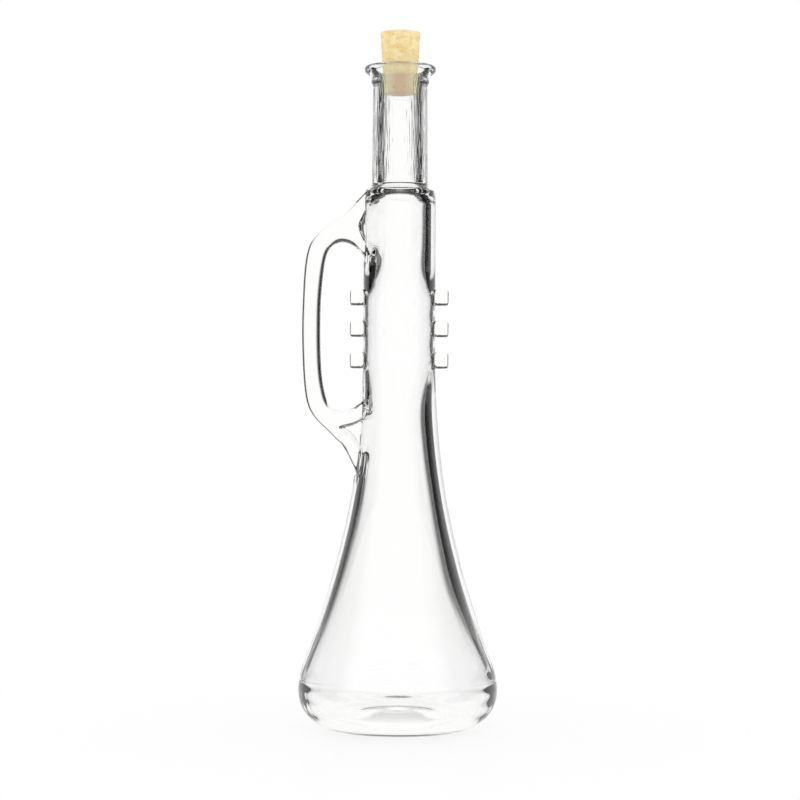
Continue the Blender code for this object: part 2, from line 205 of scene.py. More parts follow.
# Neck, collar, lip, mouth, bore and inner shoulder: (radius, height)
LIP = (
    (12.2, 245), (12.15, 252), (12.1, 260), (12.05, 268), (12.0, 275), (12.0, 279.5), (12.0, 281.6),
    (12.1, 282.3), (12.45, 283.1), (12.72, 283.8), (12.72, 284.5), (12.55, 284.95), (12.75, 285.35),
    (13.1, 285.9), (13.9, 286.9), (14.85, 287.75), (15.5, 288.5), (15.7, 289.4), (15.45, 290.3),
    (14.8, 290.85), (14.0, 291.0), (12.6, 290.9), (11.3, 291.0), (10.85, 290.85), (10.4, 290.2),
    (9.7, 289.1), (8.6, 286.8), (7.95, 284.6), (7.75, 281.5), (7.65, 278.5), (7.75, 272), (7.9, 262),
    (8.0, 252), (8.0, 246), (8.0, 240.8), (8.0, 238.2), (8.08, 237.0), (8.4, 236.0), (8.95, 235.2),
    (9.6, 234.4), (10.2, 233.55), (10.7, 232.6), (11.05, 231.6),
)
# Inside, from above: heights down the tube, about each lug's middle and down the bell, then (radius, height)
HIGH_INNER_ROWS = (230.2, 228.4, 226.4, 224, 221.8, 219.8, 217.8, 215.5, 213, 210.5, 207.5, 204, 200, 196.6)
LUG_INNER_ROWS = (4.9, 3.6, 1.8, 0, -1.8, -3.6, -4.9, -6.9)
LOW_INNER_ROWS = (
    151.5, 148, 145, 142.5, 140.4, 138.6, 137, 135.8, 134.8, 133.8, 132.6, 131, 129, 126.8, 124.4,
    121.5, 118, 113.5, 107, 99, 91, 83, 75, 68, 61, 54, 47, 40, 33, 27,
)
INNER_FLOOR = (
    (41.4, 22.0), (41.35, 19.2), (40.9, 16.2), (40.1, 13.5), (38.8, 10.8), (37.3, 8.8), (35.2, 6.9),
    (32.7, 5.2), (29.8, 4.0), (26.0, 3.55), (22.0, 3.6), (16, 4.05), (8, 4.9), (0, 5.2),
)


def columns():
    """The cage's columns: (angle from +X in degrees, angle from the nearer side, which side)."""
    found = []
    for side, angles in ((RIGHT, COLUMNS_RIGHT), (LEFT, COLUMNS_LEFT)):
        for angle in [-a for a in angles[:0:-1]] + list(angles):
            found.append((side + angle, angle, side))
        found.append((side + QUARTER_TURN, QUARTER_TURN, side))
    return found


def wall_rows():
    """(radius, height, kind) from the foot's middle to the floor's middle."""
    rows = [(r, z, "foot") for r, z in FOOT]
    heel_width = BASE_R - HEEL_RING_R
    for degrees in HEEL_ANGLES:
        angle = math.radians(degrees)
        out = math.cos(angle) ** (2 / HEEL_FULLNESS)
        down = abs(math.sin(angle)) ** (2 / HEEL_FULLNESS)
        rows.append((HEEL_RING_R + heel_width * out, WIDEST_Z * (1 - down), "heel"))
    heights = [(z, "bell") for z in BELL_ROWS]
    heights += [(z, "lower_root") for z in LOWER_ROOT_ROWS]
    heights += [(z, "tube") for z in LOW_TUBE_ROWS]
    for number, low in enumerate(LUG_LOW_Z):
        heights.append((low - LUG_MARGIN, "tube"))
        for up in (0, LUG_EDGE_ROW, LUG_TALL / 2, LUG_TALL - LUG_EDGE_ROW, LUG_TALL):
            heights.append((low + up, f"lug_{number}"))
        heights.append((low + LUG_TALL + LUG_MARGIN, "tube"))
        if low != LUG_LOW_Z[-1]:
            heights.append((low + (LUG_TALL + LUG_PITCH) / 2, "tube"))
    heights += [(z, "tube") for z in HIGH_TUBE_ROWS]
    heights += [(z, "upper_root") for z in UPPER_ROOT_ROWS]
    heights += [(z, "tube") for z in SHOULDER_ROWS]
    rows += [(outer_radius(z), z, kind) for z, kind in heights]
    rows += [(r, z, "lip") for r, z in LIP]
    inner = list(HIGH_INNER_ROWS)
    for low in reversed(LUG_LOW_Z):
        inner += [low + LUG_TALL / 2 + up for up in LUG_INNER_ROWS]
    inner += LOW_INNER_ROWS
    # an inside row's radius changes round it, so wall_point works it out
    rows += [(0.0, z, "inside") for z in inner]
    rows += [(r, z, "floor") for r, z in INNER_FLOOR]
    return rows


# The handle's root keeps its depth down the bell, so its columns draw together above the first of these
# heights, fully above the second, and the columns past it make up for that over this angle. Sections narrower
# than this share of the tube are the neck's and the foot's.
DRAW_IN_Z = (60, 100)
MAKE_UP_ANGLE = 45
NECK_SHARE = 0.9


def wall_point(r, z, kind, column):
    """Where a cage vertex of the wall stands, in millimetres."""
    angle, away, side = column
    at_handle = side == LEFT and away != QUARTER_TURN
    if kind == "inside":
        r = inner_radius(z, side, away)
        if at_handle:
            for table in (UPPER_SWELL, LOWER_SWELL):
                if table[0][0] < z < table[-1][0]:
                    r = drawn_out(math.radians(abs(away)), r, curve_at(table, z))
    elif at_handle and TUBE_R * NECK_SHARE < r:
        edge = COLUMNS_LEFT[HANDLE_SIDE]
        low, high = DRAW_IN_Z
        narrow = math.asin(HANDLE_HALF_DEPTH / r) / math.radians(edge)
        narrow = mix(1.0, narrow, min(1.0, max(0.0, (z - low) / (high - low))))
        angle = side + away * mix(narrow, 1.0, smooth_step((abs(away) - edge) / MAKE_UP_ANGLE))
    turn = math.radians(angle)
    return Vector((r * math.cos(turn), r * math.sin(turn), z))


# Handle: stations from the upper root to the lower one, (outer x, outer z, inner x, inner z)
HANDLE = (
    (-23.4, 226.8, -19.9, 211.6),
    (-27.6, 224.0, -23.6, 213.3), (-31.0, 221.6, -26.6, 213.3),
    (-34.4, 218.8, -29.2, 212.0), (-37.4, 215.4, -31.1, 209.8), (-39.6, 211.6, -32.3, 206.4),
    (-41.0, 206.0, -33.0, 202.6), (-41.8, 198.8, -33.6, 197.6), (-42.3, 188.5, -34.4, 188.3),
    (-42.6, 176.5, -34.65, 176.5), (-42.4, 165.0, -34.5, 165.0), (-41.9, 155.0, -33.9, 155.2),
    (-41.1, 147.2, -32.9, 149.0), (-39.8, 141.6, -31.7, 144.3), (-37.4, 137.2, -29.9, 141.2),
    (-33.9, 133.4, -27.6, 139.7), (-30.2, 129.9, -25.0, 139.2), (-26.6, 126.2, -22.9, 139.6),
    (-24.2, 123.6, -20.4, 140.7),
)
OUTER_EDGE_R, INNER_EDGE_R = 2.5, 3.8
EDGE_ANGLES = (8, 32, 54, 74)
FACE_SHARES = (0.0, 0.25, 0.5, 0.75, 1.0)


def edge_points(radius):
    """Across the handle's depth at one rounded edge: (how far in from the edge, depth), +Y side first."""
    start = HANDLE_HALF_DEPTH - radius
    found = [(0.0, 0.0), (0.0, start / 2)]
    for degrees in EDGE_ANGLES:
        angle = math.radians(degrees)
        found.append((radius * (1 - math.cos(angle)), start + radius * math.sin(angle)))
    return found[::-1] + [(i, -d) for i, d in found[1:]]


def handle_ring(station):
    """The points round one section of the handle, starting at the outer edge's +Y corner."""
    outer = Vector((station[0], 0, station[1]))
    inner = Vector((station[2], 0, station[3]))
    width = (inner - outer).length
    along = (inner - outer) / width
    across = Vector((0, 1, 0))
    points = [outer + along * i + across * d for i, d in edge_points(OUTER_EDGE_R)]
    first, last = OUTER_EDGE_R, width - INNER_EDGE_R
    face = [outer + along * mix(first, last, s) for s in FACE_SHARES]
    points += [p - across * HANDLE_HALF_DEPTH for p in face]
    points += [inner - along * i + across * d for i, d in reversed(edge_points(INNER_EDGE_R))]
    points += [p + across * HANDLE_HALF_DEPTH for p in reversed(face)]
    return points


class Cage:
    """Collects vertices by key and faces by keys."""

    def __init__(self):
        self.index = {}
        self.points = []
        self.faces = []

    def vertex(self, key, point):
        """Adds a vertex that faces find by its key."""
        self.index[key] = len(self.points)
        self.points.append(point)

    def face(self, *keys):
        """Adds a face between the vertices with these keys."""
        self.faces.append([self.index[k] for k in keys])

    def bridge(self, ring_a, ring_b):
        """A belt of quads between two closed rings of keys, which run clockwise seen from ring_b's side."""
        count = len(ring_a)
        for i in range(count):
            j = (i + 1) % count
            self.face(ring_a[i], ring_b[i], ring_b[j], ring_a[j])

    def skin(self, row_count, column_count, place, holes=()):
        """Rows of quads round the axis, closed by a fan at each end and open at the holes.

        place(row, column) gives a point. Of the first and last row, only a point on the axis is used.
        """
        last = row_count - 1
        for i in range(row_count):
            if i in (0, last):
                self.vertex(("pole", i), Vector((0, 0, place(i, 0).z)))
                continue
            for j in range(column_count):
                self.vertex(("w", i, j), place(i, j))
        for j in range(column_count):
            k = (j + 1) % column_count
            self.face(("pole", 0), ("w", 1, k), ("w", 1, j))
            self.face(("pole", last), ("w", last - 1, j), ("w", last - 1, k))
            for i in range(1, last - 1):
                if (i, j) not in holes:
                    self.face(("w", i, j), ("w", i, k), ("w", i + 1, k), ("w", i + 1, j))

    def mesh(self, name):
        """The cage as a mesh in metres."""
        made = bpy.data.meshes.new(name)
        made.from_pydata([p * MM for p in self.points], [], self.faces)
        made.validate()
        return made


def patch_border(rows, cols):
    """Keys round a patch of the wall: top row, down the last column, bottom row, up the first column."""
    top, bottom = rows[-1], rows[0]
    border = [("w", top, c) for c in cols]
    border += [("w", r, cols[-1]) for r in reversed(rows[1:-1])]
    border += [("w", bottom, c) for c in reversed(cols)]
    border += [("w", r, cols[0]) for r in rows[1:-1]]
    return border


# A lug's section, from its bottom middle round to its top middle: (row, column): (depth, height)
LUG_SECTION = {
    (0, 0): (0.0, 0.0), (0, 1): (1.3, 0.03), (0, 2): (2.4, 0.35), (0, 3): (3.3, 1.2), (1, 3): (3.7, 2.5),
    (2, 3): (3.72, 4.0), (3, 3): (3.62, 6.0), (4, 3): (3.3, 6.85), (4, 2): (2.6, 7.15), (4, 1): (1.3, 7.2),
    (4, 0): (0.0, 7.2), (1, 0): (0.0, 1.4), (1, 1): (1.2, 1.5), (1, 2): (2.5, 1.95), (2, 0): (0.0, 3.7),
    (2, 1): (1.3, 3.7), (2, 2): (2.6, 3.9), (3, 0): (0.0, 6.0), (3, 1): (1.3, 6.0), (3, 2): (2.6, 5.95),
}
# Belts of a lug from its root out: (distance from the bottle's axis, share of the section), and its end face
LUG_BELTS = ((16.7, 1.0), (18.4, 1.0), (20.3, 0.985), (21.25, 0.90))
LUG_END_SHARE = 0.95


def build_lug(cage, number, side, rows, cols):
    """A lug drawn out of the wall: its belts and an end face."""
    sign = 1 if side == RIGHT else -1
    low = LUG_LOW_Z[number]
    middle = LUG_TALL / 2

    def section(key, reach, share):
        row, col = rows.index(key[1]), cols.index(key[2]) - LUG_SIDE
        depth, up = LUG_SECTION[(row, abs(col))]
        turn = sign if col > 0 else -sign
        return Vector((sign * reach, turn * depth * share, low + middle + (up - middle) * share))

    borders = [patch_border(rows, cols)]
    for step, (reach, share) in enumerate(LUG_BELTS):
        ring = []
        for key in borders[0]:
            new = ("lug", number, side, step, key)
            cage.vertex(new, section(key, reach, share))
            ring.append(new)
        borders.append(ring)
    for inner, outer in zip(borders, borders[1:]):
        cage.bridge(inner, outer)
    end = {}
    for i in rows:
        for j in cols:
            key = ("w", i, j)
            if key in borders[0]:
                end[(i, j)] = ("lug", number, side, len(LUG_BELTS) - 1, key)
                continue
            end[(i, j)] = ("end", number, side, i, j)
            cage.vertex(end[(i, j)], section(key, LUG_REACH, LUG_END_SHARE))
    for i, up in zip(rows, rows[1:]):
        for j, k in zip(cols, cols[1:]):
            cage.face(end[(i, j)], end[(i, k)], end[(up, k)], end[(up, j)])


COLUMNS = columns()
ROWS = wall_rows()


def rows_of(kind):
    """Numbers of the rows of one kind."""
    return [i for i, row in enumerate(ROWS) if row[2] == kind]


def columns_near(side, angle):
    """Numbers of the columns of one side that lie within an angle of its middle."""
    return [j for j, column in enumerate(COLUMNS) if column[2] == side and abs(column[1]) <= angle]


def build_handle(cage, upper, lower, cols):
    """The loop: belts of quads from the upper root through every station to the lower root."""
    # the upper root's border starts with its top row, which carries the handle's outer edge
    rings = [patch_border(upper, cols)]
    for n, station in enumerate(HANDLE):
        ring = []
        for k, point in enumerate(handle_ring(station)):
            cage.vertex(("handle", n, k), point)
            ring.append(("handle", n, k))
        rings.append(ring)
    # at the lower root the outer edge meets the patch's bottom row
    rings.append(patch_border(lower[::-1], cols))
    for a, b in zip(rings, rings[1:]):
        cage.bridge(a, b)


def glass_cage():
    """The whole glass: the wall with a hole at each root, then the lugs and the handle that close them."""
    cage = Cage()
    upper, lower = rows_of("upper_root"), rows_of("lower_root")
    handle_cols = columns_near(LEFT, COLUMNS_LEFT[HANDLE_SIDE])
    lugs = []
    for number in range(len(LUG_LOW_Z)):
        for side, angles in ((LEFT, COLUMNS_LEFT), (RIGHT, COLUMNS_RIGHT)):
            lugs.append((number, side, rows_of(f"lug_{number}"), columns_near(side, angles[LUG_SIDE])))
    patches = [(upper, handle_cols), (lower, handle_cols)] + [lug[2:] for lug in lugs]
    holes = {(i, j) for rows, cols in patches for i in rows[:-1] for j in cols[:-1]}
    cage.skin(len(ROWS), len(COLUMNS), lambda i, j: wall_point(*ROWS[i], COLUMNS[j]), holes)
    for lug in lugs:
        build_lug(cage, *lug)
    build_handle(cage, upper, lower, handle_cols)
    return cage


def fit_to_cage(obj, rounds, pull):
    """Moves the cage out until the smooth surface passes through the points that were asked for."""
    count = len(obj.data.vertices)
    wanted = np.empty(count * 3)
    obj.data.vertices.foreach_get("co", wanted)
    now = wanted.copy()
    for _ in range(rounds):
        bpy.context.view_layer.update()
        evaluated = obj.evaluated_get(bpy.context.evaluated_depsgraph_get())
        mesh = evaluated.to_mesh()
        reached = np.empty(len(mesh.vertices) * 3)
        mesh.vertices.foreach_get("co", reached)
        evaluated.to_mesh_clear()
        now += pull * (wanted - reached[: count * 3])
        obj.data.vertices.foreach_set("co", now)
        obj.data.update()


def linear(hex_text):
    """An sRGB hex colour turned to linear RGBA."""
    parts = [int(hex_text[i : i + 2], 16) / 255 for i in (1, 3, 5)]
    return (*[c / 12.92 if c <= 0.04045 else ((c + 0.055) / 1.055) ** 2.4 for c in parts], 1.0)


def grey(brightness):
    """A grey as linear RGBA."""
    return (brightness, brightness, brightness, 1.0)


def set_stops(ramp, stops):
    """Gives a colour ramp its stops: (place, colour)."""
    ramp.elements.remove(ramp.elements[1])
    for i, (place, colour) in enumerate(stops):
        stop = ramp.elements[0] if i == 0 else ramp.elements.new(place)
        stop.position = place
        stop.color = colour


def set_up(node, settings=None, links=None):
    """Sets a node's properties, stops or inputs by name, and links inputs from other nodes' sockets."""
    for name, value in (settings or {}).items():
        if name == "stops":
            set_stops(node.color_ramp, value)
        elif isinstance(name, int) or name in node.inputs:
            node.inputs[name].default_value = value
        else:
            setattr(node, name, value)
    for name, socket in (links or {}).items():
        node.id_data.links.new(socket, node.inputs[name])
    return node


def add_node(tree, kind, settings=None, links=None):
    """Adds a node with its settings and links."""
    return set_up(tree.nodes.new(kind), settings, links)


def new_material(name):
    """An empty material, its node tree and its shader."""
    made = bpy.data.materials.new(name)
    made.use_nodes = True
    return made, made.node_tree, made.node_tree.nodes["Principled BSDF"]


# Numbers of the colour sockets on a Mix node, whose names serve several kinds of value
SHARE, COLOUR_A, COLOUR_B, MIXED = 0, 6, 7, 2

# Streaks along the bore from drawing the neck: about 0.7 mm wide and drawn out 16 times. They show only
# within the first of these radii and above the first of these heights, and are full past the second.
STREAKS_PER_MM, STREAK_DRAW = 1.5, 0.06
STREAK_DEPTH = 0.25 * MM
STREAK_RADII = (9.6, 9.0)
STREAK_HEIGHTS = (239.0, 243.0)


def glass_material(settings):
    """Soda-lime glass, blown and fire-polished: clear, bright-edged, a little olive where it is thick."""
    made, tree, shader = new_material("soda_lime_glass_blown")
    where = add_node(tree, "ShaderNodeTexCoord")
    parts = add_node(tree, "ShaderNodeSeparateXYZ", None, {"Vector": where.outputs["Object"]})
    level = add_node(tree, "ShaderNodeCombineXYZ", None, {"X": parts.outputs["X"], "Y": parts.outputs["Y"]})
    radius = add_node(tree, "ShaderNodeVectorMath", {"operation": "LENGTH"}, {0: level.outputs[0]})
    inside = add_node(
        tree, "ShaderNodeMapRange", {"From Min": STREAK_RADII[0] * MM, "From Max": STREAK_RADII[1] * MM},
        {"Value": radius.outputs["Value"]},
    )
    above = add_node(
        tree, "ShaderNodeMapRange", {"From Min": STREAK_HEIGHTS[0] * MM, "From Max": STREAK_HEIGHTS[1] * MM},
        {"Value": parts.outputs["Z"]},
    )
    in_bore = add_node(
        tree, "ShaderNodeMath", {"operation": "MULTIPLY"}, {0: inside.outputs[0], 1: above.outputs[0]}
    )
    drawn = add_node(
        tree, "ShaderNodeMapping", {"Scale": (1.0, 1.0, STREAK_DRAW)}, {"Vector": where.outputs["Object"]}
    )
    streaks = add_node(
        tree, "ShaderNodeTexNoise", {"Scale": STREAKS_PER_MM / MM, "Detail": 1.0},
        {"Vector": drawn.outputs["Vector"]},
    )
    relief = add_node(
        tree, "ShaderNodeMath", {"operation": "MULTIPLY"}, {0: streaks.outputs["Fac"], 1: in_bore.outputs[0]}
    )
    ripple = add_node(
        tree, "ShaderNodeBump", {"Strength": 1.0, "Distance": STREAK_DEPTH}, {"Height": relief.outputs[0]}
    )
    set_up(
        shader,
        {"Base Color": linear("#FFFFFF"), "Roughness": 0.0, "IOR": settings.ior, "Transmission Weight": 1.0},
        {"Normal": ripple.outputs["Normal"]},
    )
    absorb = add_node(
        tree, "ShaderNodeVolumeAbsorption", {"Color": settings.tint, "Density": settings.tint_density}
    )
    set_up(tree.nodes["Material Output"], None, {"Volume": absorb.outputs["Volume"]})
    return made


# Cork: clouds of light and dark straw about 3.6 mm wide and half as tall, pores about 1.1 mm, grain of 1 mm.
# The real grain is finer, and is drawn as coarse as it takes to show.
CLOUDS_PER_MM, CLOUD_FLATNESS = 0.28, 1.8
PORES_PER_MM, PORE_LIMITS = 0.9, (0.63, 0.72)
GRAIN_PER_MM = 1.0
SKIN_DEPTH = 0.12 * MM
# Painted light: the cork inside the mouth is painted paler below the first of these heights and fully below
# the second, to make up for the light that the glass keeps off it. Painted shade: a darker band down its
# front and back starts at the first of these distances from the middle and is full within the second.
PAINTED_LIGHT_HEIGHTS = (290.5, 287.0)
PAINTED_SHADE_WIDTHS = (5.5, 1.5)


def cork_material(settings):
    """Natural cork, punched and ground: pale straw, dark pores and a fine-grained skin, with painted light
    and painted shade inside the mouth.
    """
    made, tree, shader = new_material("natural_cork_ground")
    where = add_node(tree, "ShaderNodeTexCoord")
    parts = add_node(tree, "ShaderNodeSeparateXYZ", None, {"Vector": where.outputs["Object"]})
    # growth rings lie across the cork, so the clouds are flattened
    layers = add_node(
        tree, "ShaderNodeMapping", {"Scale": (1.0, 1.0, CLOUD_FLATNESS)}, {"Vector": where.outputs["Object"]}
    )
    cloud = add_node(
        tree, "ShaderNodeTexNoise", {"Scale": CLOUDS_PER_MM / MM, "Detail": 5.0},
        {"Vector": layers.outputs["Vector"]},
    )
    straw = add_node(
        tree, "ShaderNodeValToRGB", {"stops": ((0.36, settings.dark), (0.62, settings.light))},
        {"Fac": cloud.outputs["Fac"]},
    )
    # painted light: the cork inside the mouth is made paler, and painted shade darkens a band down its front
    # and back there
    painted_light = add_node(
        tree, "ShaderNodeMapRange",
        {"From Min": PAINTED_LIGHT_HEIGHTS[0] * MM, "From Max": PAINTED_LIGHT_HEIGHTS[1] * MM},
        {"Value": parts.outputs["Z"]},
    )
    beside = add_node(tree, "ShaderNodeMath", {"operation": "ABSOLUTE"}, {0: parts.outputs["X"]})
    middle = add_node(
        tree, "ShaderNodeMapRange", {"From Min": PAINTED_SHADE_WIDTHS[0] * MM, "From Max": PAINTED_SHADE_WIDTHS[1] * MM},
        {"Value": beside.outputs[0]},
    )
    # painted shade: a darker band down the front and back of the cork, only inside the mouth
    painted_shade_share = add_node(
        tree, "ShaderNodeMath", {"operation": "MULTIPLY"}, {0: painted_light.outputs[0], 1: middle.outputs[0]}
    )
    pale = add_node(
        tree, "ShaderNodeMix", {"data_type": "RGBA", COLOUR_B: settings.painted_light},
        {SHARE: painted_light.outputs[0], COLOUR_A: straw.outputs["Color"]},
    )
    with_painted_shade = add_node(
        tree, "ShaderNodeMix", {"data_type": "RGBA", COLOUR_B: settings.painted_shade},
        {SHARE: painted_shade_share.outputs[0], COLOUR_A: pale.outputs[MIXED]},
    )
    chance = add_node(
        tree, "ShaderNodeTexNoise", {"Scale": PORES_PER_MM / MM, "Detail": 2.0},
        {"Vector": where.outputs["Object"]},
    )
    pores = add_node(
        tree, "ShaderNodeMapRange", {"From Min": PORE_LIMITS[0], "From Max": PORE_LIMITS[1]},
        {"Value": chance.outputs["Fac"]},
    )
    speckled = add_node(
        tree, "ShaderNodeMix", {"data_type": "RGBA", COLOUR_B: settings.pore},
        {SHARE: pores.outputs[0], COLOUR_A: with_painted_shade.outputs[MIXED]},
    )
    grain = add_node(
        tree, "ShaderNodeTexVoronoi", {"Scale": GRAIN_PER_MM / MM}, {"Vector": where.outputs["Object"]}
    )
    relief = add_node(
        tree, "ShaderNodeMath", {"operation": "SUBTRACT"}, {0: grain.outputs["Distance"], 1: pores.outputs[0]}
    )
    skin = add_node(
        tree, "ShaderNodeBump", {"Strength": 0.5, "Distance": SKIN_DEPTH}, {"Height": relief.outputs[0]}
    )
    set_up(
        shader, {"Roughness": 0.8}, {"Base Color": speckled.outputs[MIXED], "Normal": skin.outputs["Normal"]}
    )
    return made


def add_object(name, data):
    """Links a new object to the scene."""
    made = bpy.data.objects.new(name, data)
    bpy.context.scene.collection.objects.link(made)
    return made


def smoothed(obj, levels):
    """Adds the subdivision that makes a cage's smooth surface."""
    smooth = obj.modifiers.new("smooth_surface", "SUBSURF")
    smooth.levels = smooth.render_levels = levels
    obj.data.shade_smooth()


COLOUR = {"subtype": "COLOR", "size": 4, "min": 0.0, "max": 1.0}


class GlassSettings(bpy.types.PropertyGroup):
    ior: bpy.props.FloatProperty(
        name="IOR", description="Refraction of soda-lime glass", default=1.52, min=1.3, max=1.9
    )
    tint: bpy.props.FloatVectorProperty(
        name="Tint", description="Colour that thick glass takes on", default=linear("#DAE7C5"), **COLOUR
    )
    tint_density: bpy.props.FloatProperty(
        name="Tint density", description="How fast thick glass takes on its tint, per metre", default=4.0,
        min=0.0, max=200.0,
    )
    smooth_levels: bpy.props.IntProperty(
        name="Smoothing", description="Subdivision of the glass", default=2, min=1, max=3
    )


class CorkSettings(bpy.types.PropertyGroup):
    edge: bpy.props.FloatProperty(
        name="Edge", description="How far the cork's edges are rubbed", default=0.0004, min=0.0001, max=0.002,
        unit="LENGTH",
    )
    light: bpy.props.FloatVectorProperty(
        name="Light straw", description="Lighter growth of the cork", default=linear("#FFEDB8"), **COLOUR
    )
    dark: bpy.props.FloatVectorProperty(
        name="Dark straw", description="Darker growth of the cork", default=linear("#F3D291"), **COLOUR
    )
    # painted light: the colour of the cork inside the mouth, paler to make up for the light that the glass
    # keeps off it
    painted_light: bpy.props.FloatVectorProperty(
        name="Painted light", description="Cork inside the mouth", default=linear("#FFF7CE"), **COLOUR
    )
    # painted shade: the colour of the darker band down the front and back of the cork inside the mouth
    painted_shade: bpy.props.FloatVectorProperty(
        name="Painted shade", description="Vein in the squeezed cork", default=linear("#EFD0A4"), **COLOUR
    )
    pore: bpy.props.FloatVectorProperty(
        name="Pore", description="Pores of the cork", default=linear("#E0B97C"), **COLOUR
    )


class StageSettings(bpy.types.PropertyGroup):
    floor_radius: bpy.props.FloatProperty(
        name="Floor radius", description="Radius of the white floor", default=0.25, min=0.05, unit="LENGTH"
    )
    floor_colour: bpy.props.FloatVectorProperty(
        name="Floor", description="Colour of the floor near the bottle", default=linear("#F4F4F4"), **COLOUR
    )
    camera_distance: bpy.props.FloatProperty(
        name="Camera distance", description="From the lens to the bottle's axis", default=1.0, min=0.3,
        unit="LENGTH",
    )


# How often the glass's cage is moved out to meet its points, and by what share of what is missing
FIT_ROUNDS, FIT_PULL = 4, 0.9


class BOTTLE_OT_glass(bpy.types.Operator):
    """Builds the blown glass with its handle and lugs"""

    bl_idname = "bottle.glass"
    bl_label = "Glass"

    def execute(self, context):
        settings = context.scene.bottle_glass
        glass = add_object("glass", glass_cage().mesh("glass"))
        smoothed(glass, settings.smooth_levels)
        fit_to_cage(glass, FIT_ROUNDS, FIT_PULL)
        glass.data.materials.append(glass_material(settings))
        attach(glass, "bottle")
        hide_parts("glass_bottle")
        return {"FINISHED"}


# The cork's side: (radius, height) from its lower end to its top
CORK_SIDE = ((7.38, 278.5), (7.55, 283), (7.75, 287), (8.0, 291.5), (8.25, 296), (8.5, 300.5), (8.8, 305.7))
CORK_SEGMENTS, CORK_SMOOTHING = 48, 2
RIM_ANGLES = (0, 30, 60, 90)
CAP_SHARES = (0, 0.5, 0.93)
# The ground side is uneven by this many millimetres, in this many waves to a radius across and to a mm up
UNEVEN, WAVES_ACROSS, WAVES_PER_MM = 0.05, 4, 0.5


def cork_profile(rubbed):
    """Half the cork's section, with both rims rounded by the rubbed radius in millimetres."""
    (low_r, low_z), (top_r, top_z) = CORK_SIDE[0], CORK_SIDE[-1]
    turns = [math.radians(a) for a in RIM_ANGLES]
    low = [(low_r - rubbed * (1 - math.cos(a)), low_z + rubbed * (1 - math.sin(a))) for a in turns]
    top = [(top_r - rubbed * (1 - math.cos(a)), top_z - rubbed * (1 - math.sin(a))) for a in turns]
    low_cap = [(share * (low_r - rubbed), low_z) for share in CAP_SHARES]
    top_cap = [(share * (top_r - rubbed), top_z) for share in reversed(CAP_SHARES)]
    return low_cap + low[::-1] + list(CORK_SIDE[1:-1]) + top + top_cap


def cork_mesh(rubbed):
    """A turned cone with rubbed edges."""
    profile = cork_profile(rubbed)

    def place(row, column):
        r, z = profile[row]
        turn = 2 * math.pi * column / CORK_SEGMENTS
        x, y = math.cos(turn), math.sin(turn)
        r += UNEVEN * noise.noise(Vector((x * WAVES_ACROSS, y * WAVES_ACROSS, z * WAVES_PER_MM)))
        return Vector((r * x, r * y, z))

    cage = Cage()
    cage.skin(len(profile), CORK_SEGMENTS, place)
    return cage.mesh("cork")


class BOTTLE_OT_cork(bpy.types.Operator):
    """Builds the cork stopper"""

    bl_idname = "bottle.cork"
    bl_label = "Cork"

    def execute(self, context):
        settings = context.scene.bottle_cork
        cork = add_object("cork_turned", cork_mesh(settings.edge / MM))
        smoothed(cork, CORK_SMOOTHING)
        cork.data.materials.append(cork_material(settings))
        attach(cork, "cork")
        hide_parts("cork_stopper")
        return {"FINISHED"}


# What is seen through the glass: the studio's brightness by the sideways part of a direction and by its
# upward part. The dark flags at both sides draw the dark bands near the edges of clear glass.
SIDEWAYS_PATTERN = (
    (0.0, 1.0), (0.31, 1.0), (0.37, 0.72), (0.42, 0.2), (0.49, 0.0), (0.92, 0.0), (0.975, 0.6), (0.99, 1.0),
    (1.0, 1.0),
)
UPWARD_PATTERN = ((-1.0, 1.0), (0.38, 1.0), (0.47, 0.02), (0.92, 0.02), (0.97, 1.0), (1.0, 1.0))
# The studio is white above the first of these, and the flags end softly below and towards the camera
LID_Z = 0.95
FLAG_END_Z = (-0.35, -0.29)
FLAG_END_Y = (-0.2, -0.05)
# What a mirror image sees: (degrees from the nearer of the front and back walls, brightness)
MIRROR_PATTERN = ((0, 1.0), (62, 1.0), (76, 0.3), (90, 0.3))


